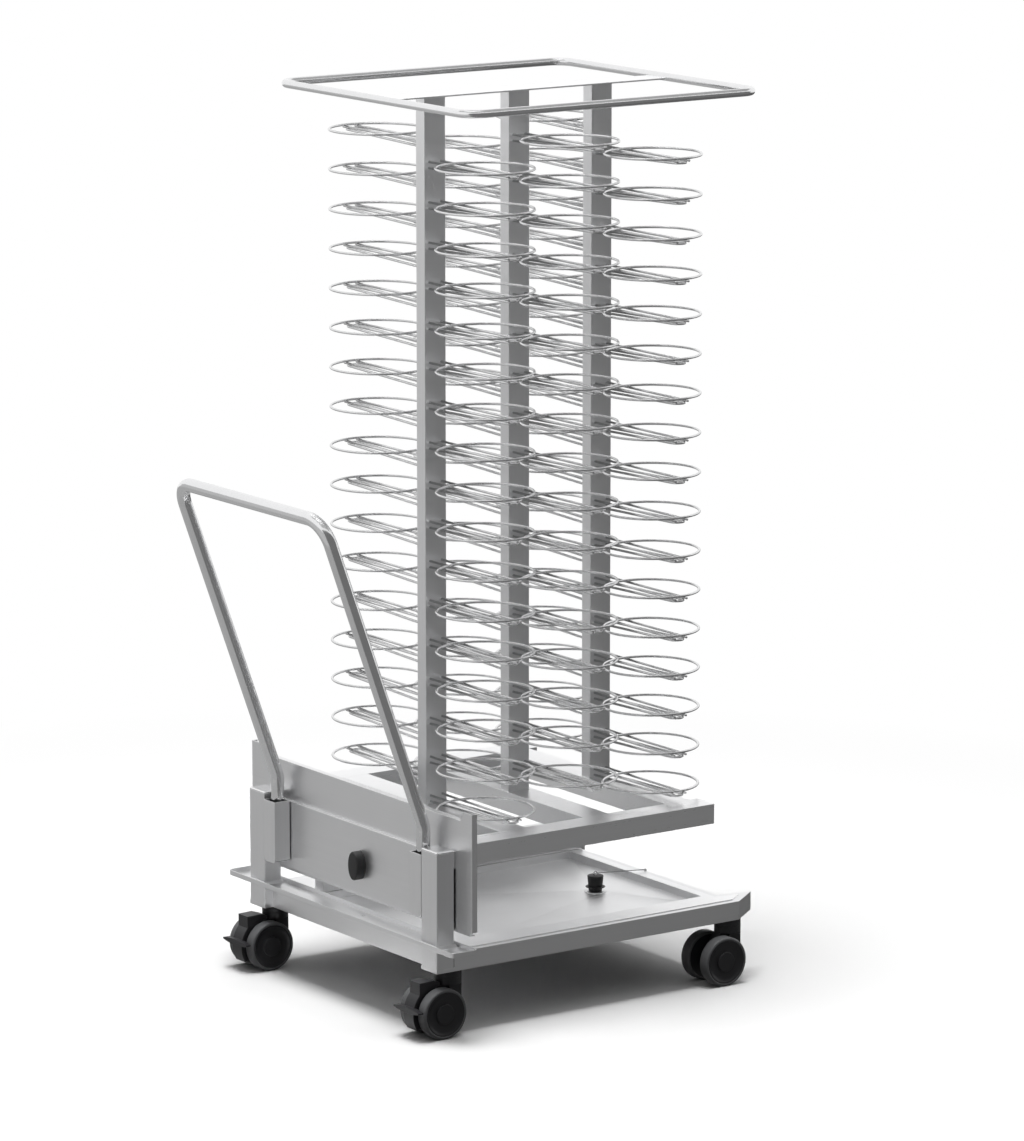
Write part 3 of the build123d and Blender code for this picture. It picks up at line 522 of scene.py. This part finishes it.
@dataclass
class Rack:
    """The upright part: six columns of wire carriers, the tubes and the flat strip on top."""

    levels: int = 17
    pitch: float = 0.079
    wire: float = 0.0025
    ring: float = 0.0955
    reach: float = 0.186
    face: float = 0.015
    arm_x: float = 0.014
    arm_drop: float = 0.0042
    brace_drop: float = 0.012
    arm_over: float = 0.005
    brace_over: float = 0.003
    loop_radius: float = 0.008
    loop_corner: float = 0.038
    ring_points: int = 72
    ring_sides: int = 12
    arm_sides: int = 10
    bend_points: int = 13
    loop_steps: int = 14
    loop_sides: int = 28
    places: tuple[str, str, str] = ("front", "middle", "rear")

    def wires(self) -> list[tuple[np.ndarray, int, bool]]:
        """Middle lines of a carrier's wires about its upright's axis, on the near side.

        The ring is centre + ring * (cos t, sin t, 0). The arms run straight below it. The brace
        is a long U in a plane that rises from the upright to the ring's outer edge.

        Returns:
            For each wire its places, the sides of its circle and whether it closes.
        """
        turn = turn_of(self.ring_points)
        ring_y = self.ring * np.sin(turn) - self.reach
        ring = np.stack([self.ring * np.cos(turn), ring_y, 0.0 * turn], axis=-1)
        ends = self.reach + self.ring + self.arm_over
        low = -self.arm_drop
        lines = [(ring, self.ring_sides, True)]
        for x in (-self.arm_x, self.arm_x):
            arm = np.array([[x, -self.face, low], [x, -ends, low]])
            lines.append((arm, self.arm_sides, False))
        far = self.reach + self.ring + self.brace_over - self.face
        bend = np.linspace(0.0, np.pi, self.bend_points)
        across = np.concatenate([[self.arm_x], self.arm_x * np.cos(bend), [-self.arm_x]])
        out = np.concatenate([[0.0], far - self.arm_x + self.arm_x * np.sin(bend), [0.0]])
        rise = (self.brace_drop - self.arm_drop) * out / far
        brace = np.stack([across, -self.face - out, low - self.brace_drop + rise], axis=-1)
        lines.append((brace, self.arm_sides, False))
        return lines

    def carrier(self) -> tuple[np.ndarray, list]:
        """Points and faces of one carrier, with the ring's middle at height 0."""
        points, faces, count = [], [], 0
        for path, sides, closed in self.wires():
            made, corners = sweep(path, self.wire, sides, closed)
            points.append(made)
            faces += [[corner + count for corner in face] for face in corners]
            count += len(made)
        return np.concatenate(points), faces

    def columns(self) -> None:
        """Repeat the carrier down each of the six columns, turned half round on the far side."""
        points, faces = self.carrier()
        for row, side in (("near", -1.0), ("far", 1.0)):
            for place in self.places:
                low, high = box_ends(f"carriers_{row}_{place}")
                top = np.array([(low[0] + high[0]) / 2.0, 0.0, high[2] - self.wire])
                turned = points * np.array([-side, -side, 1.0])
                step = np.array([0.0, 0.0, -self.pitch])
                rows = np.arange(self.levels)[:, None, None] * step
                every = (turned[None] + top + rows).reshape(-1, 3)
                shifts = range(0, self.levels * len(points), len(points))
                corners = [
                    [corner + shift for corner in face] for shift in shifts for face in faces
                ]
                made = add_mesh(f"wires_{row}_{place}", every, corners, WIRE_STEEL)
                fit(made, "trolley", f"carriers_{row}_{place}")

    def loop(self) -> None:
        """Carry the top tube's circle round a rectangle with rounded corners."""
        low, high = box_ends("top_loop")
        near, far = low + self.loop_radius, high - self.loop_radius
        ends = [(near[0], near[1]), (far[0], near[1]), (far[0], far[1]), (near[0], far[1])]
        z = (low[2] + high[2]) / 2.0
        corners = [(x, y, z) for x, y in ends]
        path = rounded_path(corners, self.loop_corner, self.loop_steps, True)
        points, faces = sweep(path, self.loop_radius, self.loop_sides, True)
        fit(add_mesh("loop_tube", points, faces, TUBE_STEEL), "trolley", "top_loop")

    def build(self) -> None:
        """Make the six columns and the top loop, and dress the rest."""
        self.columns()
        self.loop()
        dress(SHEET_ALONG, "top_strip")
        # The cross members here and the deck beams below take the paler deck steel, whose extra
        # paleness is painted light.
        for place in self.places:
            dress(SHEET_UPRIGHT, f"upright_{place}")
            dress(DECK_STEEL_PAINTED_LIGHT, f"cross_member_{place}")
        dress(DECK_STEEL_PAINTED_LIGHT, "deck_beam_near", "deck_beam_far")


@dataclass
class Chassis:
    """Base frame, drip pan, gutter, posts and plates at the handle end, and the handle."""

    handle_radius: float = 0.0135
    handle_bend: float = 0.05
    handle_steps: int = 14
    handle_sides: int = 40
    bend_height: float = 0.405
    buffer_edge: float = 0.003
    buffer_sides: int = 64
    buffer_steps: int = 7
    rail_wall: float = 0.002

    def build(self) -> None:
        """Dress the sheet parts and make the handle, the buffer and the rail's ends."""
        dress(SHEET_ALONG, "base_frame", "side_rail")
        dress(SHEET_ACROSS, "gutter", "end_plate")
        dress(SHEET_UPRIGHT, "post_near", "post_far", "handle_pockets")
        # The drip pan and its drain fitting take the paler pan steel, whose extra paleness is
        # painted light.
        dress(PAN_STEEL_PAINTED_LIGHT, "drip_pan", "drain_fitting")
        dress(FOLDED_STEEL, "cross_panel")
        dress(CAP_STEEL, "post_caps")
        self.rail_ends()
        self.buffer()
        self.handle()

    def handle(self) -> None:
        """Carry a circle along six corners rounded to one radius: foot, bend, top and back."""
        low, high = box_ends("handle")
        r = self.handle_radius
        y, leg_x, top_x, top_z = high[1] - r, high[0] - r, low[0] + r, high[2] - r
        corners = [(leg_x, -y, low[2]), (leg_x, -y, self.bend_height), (top_x, -y, top_z)]
        corners += [(x, -place, z) for x, place, z in reversed(corners)]
        path = rounded_path(corners, self.handle_bend, self.handle_steps)
        points, faces = sweep(path, r, self.handle_sides)
        fit(add_mesh("handle_tube", points, faces, TUBE_STEEL), "handle", "handle")

    def rail_ends(self) -> None:
        """Close both ends of the side rail with a flat plate inside its walls."""
        low, high = box_ends("side_rail")
        wall = self.rail_wall
        y, z = (low[1] + wall, high[1] - wall), (low[2] + wall, high[2] - wall)
        outline = [(y[0], z[0]), (y[1], z[0]), (y[1], z[1]), (y[0], z[1])]
        around = [(side, (side + 1) % 4, (side + 1) % 4 + 4, side + 4) for side in range(4)]
        points, faces = [], []
        for near, inner in ((low[0], low[0] + wall), (high[0] - wall, high[0])):
            plate = [(3, 2, 1, 0), (4, 5, 6, 7), *around]
            faces += [[corner + len(points) for corner in face] for face in plate]
            points += [(x, *corner) for x in (near, inner) for corner in outline]
        plates = add_mesh("rail_end_plates", np.array(points), faces, SHEET_ALONG, False)
        fit(plates, "trolley")

    def buffer(self) -> None:
        """Make the rubber buffer: ellipses stacked outwards and drawn in round the outer edge.

        A point is centre + ((half_width - inset) * cos t, (half_height - inset) * sin t) at its
        depth. Round the edge inset = edge * (1 - cos a) and depth = full - edge * (1 - sin a).
        """
        low, high = box_ends("buffer")
        half, centre, depth = (high - low) / 2.0, (high + low) / 2.0, high[0] - low[0]
        edge = self.buffer_edge
        bend = np.linspace(0.0, np.pi / 2.0, self.buffer_steps)
        inset = np.concatenate([[0.0], edge * (1.0 - np.cos(bend))])[:, None]
        reach = np.concatenate([[0.0], depth - edge * (1.0 - np.sin(bend))])[:, None]
        turn = turn_of(self.buffer_sides)[None, :]
        x = np.broadcast_to(high[0] - reach, (len(reach), self.buffer_sides))
        y = centre[1] + (half[1] - inset) * np.cos(turn)
        z = centre[2] + (half[2] - inset) * np.sin(turn)
        points = np.stack([x, y, z], axis=-1).reshape(-1, 3)
        faces = capped_faces(len(reach), self.buffer_sides)
        pad = add_mesh("buffer_pad", points, faces, SOFT_BLACK)
        pad.data.set_sharp_from_angle(angle=SHARP_ANGLE)
        fit(pad, "trolley", "buffer")


@dataclass
class Drain:
    """The rubber plug in the drip pan's drain, its wire eye and the thin cable that keeps it."""

    cable: float = 0.0016
    start: tuple[float, float, float] = (0.31175, -0.032, 0.1794)
    end: tuple[float, float, float] = (0.41679, -0.03746, 0.17176)
    cable_length: float = 0.1055
    cable_spans: int = 4
    nose: float = 0.008
    eye_wire: float = 0.0012
    eye_radius: float = 0.004
    eye_points: int = 40
    wire_sides: int = 12
    plug_sides: int = 48
    plug_rows: tuple = (
        (-8.0, 10.8),
        (-7.4, 11.4),
        (-0.3, 11.4),
        (0.0, 12.9),
        (0.6, 13.5),
        (7.4, 14.1),
        (7.9, 19.4),
        (8.2, 20.0),
        (8.9, 20.0),
        (9.2, 19.4),
        (9.8, 14.5),
        (31.0, 16.4),
        (31.7, 16.1),
        (32.0, 15.4),
    )

    def plug(self) -> None:
        """Make the plug and its eye.

        The plug is a row of circles up its axis, one for each pair of height and radius in
        millimetres: nose, taper, sealing lip, taper again and a rounded top edge. The eye is
        centre + eye_radius * (cos t, 0, sin t), carrying a wire.
        """
        low, high = box_ends("drain_plug")
        middle = (low + high) / 2.0
        rows = np.array(self.plug_rows) * MILLI
        path = np.zeros((len(rows), 3)) + (middle[0], middle[1], low[2] + self.nose)
        path[:, 2] += rows[:, 0]
        points, faces = sweep(path, rows[:, 1], self.plug_sides)
        body = add_mesh("plug_body", points, faces, SOFT_BLACK)
        body.data.set_sharp_from_angle(angle=SHARP_ANGLE)
        fit(body, "drain_plug", "drain_plug")
        turn = turn_of(self.eye_points)
        ring = np.stack([np.cos(turn), 0.0 * turn, np.sin(turn)], axis=-1) * self.eye_radius
        ring += (middle[0], middle[1], high[2] - self.eye_radius - self.eye_wire)
        points, faces = sweep(ring, self.eye_wire, self.wire_sides, True)
        fit(add_mesh("plug_eye", points, faces, WIRE_STEEL), "drain_plug")

    def route(self) -> np.ndarray:
        """Places along the cable, read from one open smooth spline between its two ends."""
        curve = bpy.data.curves.new("lanyard_route", "CURVE")
        curve.dimensions = "3D"
        spline = curve.splines.new("NURBS")
        spline.points.add(self.cable_spans)
        first, last = np.array(self.start), np.array(self.end)
        for index, point in enumerate(spline.points):
            point.co = (*(first + (last - first) * index / self.cable_spans), 1.0)
        spline.order_u = 3
        spline.use_endpoint_u = True
        holder = bpy.data.objects.new("lanyard_route", curve)
        line = bpy.data.meshes.new_from_object(holder)
        places = np.array([vertex.co for vertex in line.vertices])
        bpy.data.objects.remove(holder)
        bpy.data.meshes.remove(line)
        return places

    def build(self) -> None:
        """Make the plug, dress the clip and stretch the cable from the plug's eye to its ferrule.
        """
        self.plug()
        dress(WIRE_STEEL, "lanyard_clip")
        places = self.route()
        points, faces = sweep(places, self.cable / 2.0, self.wire_sides)
        cable = add_mesh("lanyard_cable", points, faces, CABLE_STEEL)
        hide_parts("lanyard")
        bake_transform(cable)
        LOG.info("stretched %s over %d places", cable.name, len(places))


@dataclass
class Caster:
    """One twin wheel caster."""

    place: str
    braked: bool
    radius: float = 0.05
    tyre: float = 0.006
    width: float = 0.025
    shoulder: float = 0.004
    shoulder_points: int = 7
    wheel_sides: int = 72
    hub_rows: tuple = (
        (5.05, 0.0),
        (44.0, 0.0),
        (44.0, 24.2),
        (43.2, 25.0),
        (41.6, 25.0),
        (41.0, 24.4),
        (40.4, 24.4),
        (39.6, 23.4),
        (34.0, 21.6),
        (26.0, 20.4),
        (21.4, 20.0),
        (20.0, 20.6),
        (20.0, 24.0),
        (19.0, 25.0),
        (10.0, 25.0),
        (0.01, 25.0),
        (0.01, 21.0),
        (5.05, 21.0),
    )

    def tyre_profile(self) -> np.ndarray:
        """Closed outline of the tyre: a flat tread with two quarter-round shoulders."""
        bend = np.linspace(0.0, np.pi / 2.0, self.shoulder_points)
        top, inner = self.radius, self.radius - self.tyre
        r, w = self.shoulder, self.width
        left = np.stack([top - r + r * np.sin(bend), r - r * np.cos(bend)], axis=-1)
        right = np.stack([top - r + r * np.cos(bend), w - r + r * np.sin(bend)], axis=-1)
        return np.concatenate([[[inner, 0.0]], left, right, [[inner, w]]])

    def wheel(self, word: str, way: int) -> None:
        """Make one wheel: its tyre, and its hub from pairs of radius and reach in millimetres.

        Args:
            word: near or far.
            way: -1 for the near wheel, 1 for the far one.
        """
        body = f"wheel_{self.place}_{word}"
        low, high = box_ends(f"{self.place}_tyre_{word}")
        centre = (low + high) / 2.0
        centre[1] = high[1] if way < 0 else low[1]
        points, faces = lathe(self.tyre_profile(), centre, way, self.wheel_sides)
        tyre = add_mesh(f"{self.place}_tread_{word}", points, faces, TYRE_GREY)
        fit(tyre, body, f"{self.place}_tyre_{word}")
        rows = np.array(self.hub_rows) * MILLI
        points, faces = lathe(rows, centre, way, self.wheel_sides)
        hub = add_mesh(f"{self.place}_disc_{word}", points, faces, MOULDED_BLACK)
        hub.data.set_sharp_from_angle(angle=SHARP_ANGLE)
        fit(hub, body, f"{self.place}_hub_{word}")

    def build(self) -> None:
        """Make both wheels and dress the rest."""
        self.wheel("near", -1)
        self.wheel("far", 1)
        dress(MOULDED_BLACK, f"{self.place}_housing")
        dress(AXLE_STEEL, f"{self.place}_axle")
        if self.braked:
            dress(MOULDED_BLACK, f"{self.place}_brake")


@dataclass
class Studio:
    """Floor, soft lights, pale surroundings and the camera."""

    camera_place: tuple[float, float, float] = (-6.3624, -9.2802, 3.0759)
    heading: float = 55.055
    down: float = 11.265
    lens: float = 182.84
    sensor: float = 36.0
    sight: float = 100.0
    floor_reach: float = 9.0
    floor_sides: int = 64
    floor_drop: float = 0.0002
    floor_shade: float = 0.86
    bounce_shade: float = 0.12
    fade_start: float = 1.3
    fade_rate: float = 0.8
    dome_low: float = 0.02
    dome_rise: float = 0.8
    lamp_place: tuple[float, float, float] = (-0.3, 0.0, 4.8)
    lamp_aim: tuple[float, float, float] = (0.0, 0.0, 0.3)
    lamp_size: float = 2.2
    lamp_power: float = 255.0
    card_floor: float = 0.001
    card_inner: tuple = ((-0.50, -0.30), (0.42, -0.30), (0.42, 0.30), (-0.50, 0.30))
    card_outer: float = 8.5
    floor_cards: dict = field(
        default_factory=lambda: {"front": 0.17, "right": 0.12, "back": 0.43, "left": 0.40}
    )
    front_card: tuple = (-3.5, 5.0, -2.2, -0.1, 2.7, 0.175)
    side_card: tuple = (-1.4, 5.5, -1.9, -0.1, 1.4, 0.54)
    top_card: tuple = (-1.8, 2.6, -2.1, 0.9, 3.4, 0.4)

    def floor(self) -> None:
        """A wide flat disc that takes the shadow and turns into plain white far out."""
        turn = turn_of(self.floor_sides)
        rim = np.stack([np.cos(turn), np.sin(turn), 0.0 * turn], axis=-1) * self.floor_reach
        rim[:, 2] = -self.floor_drop
        made = link_mesh("studio_floor", rim.tolist(), [list(range(self.floor_sides))])
        material = bpy.data.materials.new("floor_white")
        material.use_nodes = True
        shader = Shader(material.node_tree)
        bounced = shader.value(shader.node("LightPath"), "Is Diffuse Ray")
        colour = shader.colours(bounced, (self.floor_shade,) * 3, (self.bounce_shade,) * 3)
        paper = shader.node("BsdfDiffuse", {}, {"Color": colour})
        far = shader.node("VectorMath", {"operation": "LENGTH"}, {0: shader.place()})
        fade = ((shader.value(far, "Value") - self.fade_start) * self.fade_rate).limited()
        parts = {0: fade * self.seen(shader), 1: paper.outputs[0], 2: shader.glow(1.0).outputs[0]}
        shader.surface(shader.node("MixShader", {}, parts).outputs[0])
        made.data.materials.append(material)

    @staticmethod
    def direct(shader: Shader) -> Value:
        """1 for rays that haven't met a matt surface yet, 0 for the others."""
        return 1.0 - shader.value(shader.node("LightPath"), "Diffuse Depth").above(0.5)

    def seen(self, shader: Shader) -> Value:
        """1 for rays from the camera, a mirror or glass, 0 for those that light matt surfaces."""
        path = shader.node("LightPath")
        camera = shader.value(path, "Is Camera Ray")
        glossy = shader.value(path, "Is Glossy Ray")
        through = shader.value(path, "Is Transmission Ray")
        return (camera + glossy + through).limited() * self.direct(shader)

    def surroundings(self) -> None:
        """White all round for the eye and for metal, and light that comes mostly from above."""
        world = bpy.data.worlds.new("studio")
        bpy.context.scene.world = world
        world.use_nodes = True
        shader = Shader(world.node_tree)
        way = shader.node("TexCoord").outputs["Generated"]
        height = shader.value(shader.node("SeparateXYZ", {}, {0: way}), "Z").limited()
        seen = self.seen(shader)
        dome = self.dome_low + height**2.0 * self.dome_rise
        strength = seen + (1.0 - seen) * dome
        white = {"Color": (1.0, 1.0, 1.0, 1.0), "Strength": strength}
        shader.surface(shader.node("Background", {}, white).outputs[0], "World")

    def card(self, name: str, corners: list[tuple[float, float, float]], shade: float) -> None:
        """Set up a card that glows, seen only in polished metal as a reflected tone, and that
        lights nothing.

        Args:
            name: its name.
            corners: its four corners, in order round it.
            shade: how bright it is, from 0 to 1.
        """
        made = link_mesh(name, corners, [[0, 1, 2, 3]])
        for kind in ("camera", "diffuse", "shadow", "transmission"):
            setattr(made, f"visible_{kind}", False)
        material = bpy.data.materials.new(name)
        material.use_nodes = True
        shader = Shader(material.node_tree)
        # The card's tone is its own glow, not light falling on it.
        shader.surface(shader.glow(self.direct(shader) * shade).outputs[0])
        made.data.materials.append(material)

    def cards(self) -> None:
        """Lay four cards on the floor round the trolley, stand two beside it and hang one."""
        inner, out = self.card_inner, self.card_outer
        outer = [(-out, -out), (out, -out), (out, out), (-out, out)]
        for index, (name, shade) in enumerate(self.floor_cards.items()):
            on = (index + 1) % 4
            ring = [inner[index], outer[index], outer[on], inner[on]]
            self.card(f"{name}_floor_card", [(x, y, self.card_floor) for x, y in ring], shade)
        left, right, y, low, high, shade = self.front_card
        places = [(left, y, low), (right, y, low), (right, y, high), (left, y, high)]
        self.card("front_card", places, shade)
        near, far, x, low, high, shade = self.side_card
        places = [(x, near, low), (x, far, low), (x, far, high), (x, near, high)]
        self.card("side_card", places, shade)
        left, right, near, far, z, shade = self.top_card
        places = [(left, near, z), (right, near, z), (right, far, z), (left, far, z)]
        self.card("top_card", places, shade)

    def lamp(self) -> None:
        """Hang one square soft lamp over the trolley."""
        data = bpy.data.lights.new("top_light", "AREA")
        data.size = self.lamp_size
        data.energy = self.lamp_power
        made = bpy.data.objects.new("top_light", data)
        made.location = self.lamp_place
        aim = Vector(self.lamp_aim) - Vector(self.lamp_place)
        made.rotation_euler = aim.to_track_quat("-Z", "Y").to_euler()
        bpy.context.scene.collection.objects.link(made)

    def camera(self) -> None:
        """The camera at the photograph's viewpoint."""
        data = bpy.data.cameras.new("view")
        data.lens = self.lens
        data.sensor_width = self.sensor
        data.sensor_fit = "AUTO"
        data.clip_end = self.sight
        made = bpy.data.objects.new("view", data)
        made.location = self.camera_place
        tilt, turn = math.radians(90.0 - self.down), math.radians(self.heading - 90.0)
        made.rotation_euler = (tilt, 0.0, turn)
        bpy.context.scene.collection.objects.link(made)
        bpy.context.scene.camera = made

    def build(self) -> None:
        """Set the whole studio up."""
        bpy.context.scene.view_settings.view_transform = "Standard"
        self.floor()
        self.surroundings()
        self.cards()
        self.lamp()
        self.camera()


def main() -> None:
    """Build every part of the scene in order."""
    logging.basicConfig(level=logging.INFO, format="%(name)s: %(message)s")
    Rack().build()
    Chassis().build()
    Drain().build()
    dress(MOULDED_BLACK, "caster_collars")
    for end, braked in (("front", True), ("rear", False)):
        for side in ("near", "far"):
            Caster(f"{end}_{side}", braked).build()
    Studio().build()
    bpy.context.view_layer.update()


if __name__ == "__main__":
    main()
